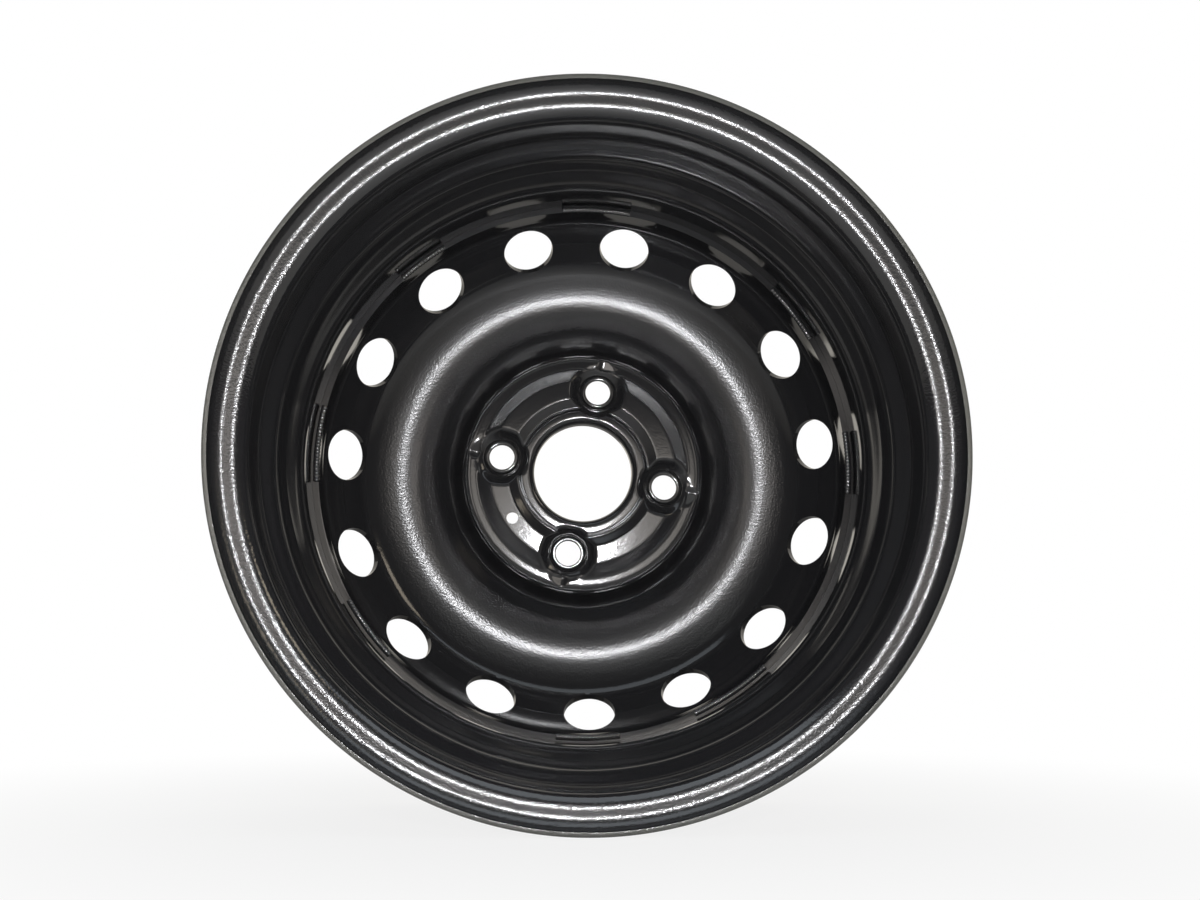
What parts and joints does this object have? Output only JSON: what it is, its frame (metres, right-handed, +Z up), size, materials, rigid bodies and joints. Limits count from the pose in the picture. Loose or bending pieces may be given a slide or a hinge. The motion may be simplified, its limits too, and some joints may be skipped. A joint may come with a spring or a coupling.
{
  "type": "steel wheel",
  "caption": "Pressed steel car wheel: a rolled drop-centre rim welded round a stamped disc with a hub bore, a bolt circle with cone seats and a ring of round vents.",
  "frame": {"origin": "centre of the rim on the wheel's axis", "axes": "+Y along the wheel's axis towards its outer face, +Z up, so -Y looks out of the barrel towards the car"},
  "size_m": [0.3894, 0.1616, 0.3894],
  "materials": {
    "rim_paint": "satin black dip paint",
    "disc_paint": "gloss black dip paint",
    "weld_paint": "gloss black dip paint over weld"
  },
  "bodies": {
    "root": {"rim": "rim_paint", "wheel_disc": "disc_paint", "weld_bead_1": "weld_paint", "weld_bead_2": "weld_paint", "weld_bead_3": "weld_paint", "weld_bead_4": "weld_paint", "weld_bead_5": "weld_paint", "weld_bead_6": "weld_paint", "weld_bead_7": "weld_paint", "weld_bead_8": "weld_paint"}
  },
  "joints": []
}
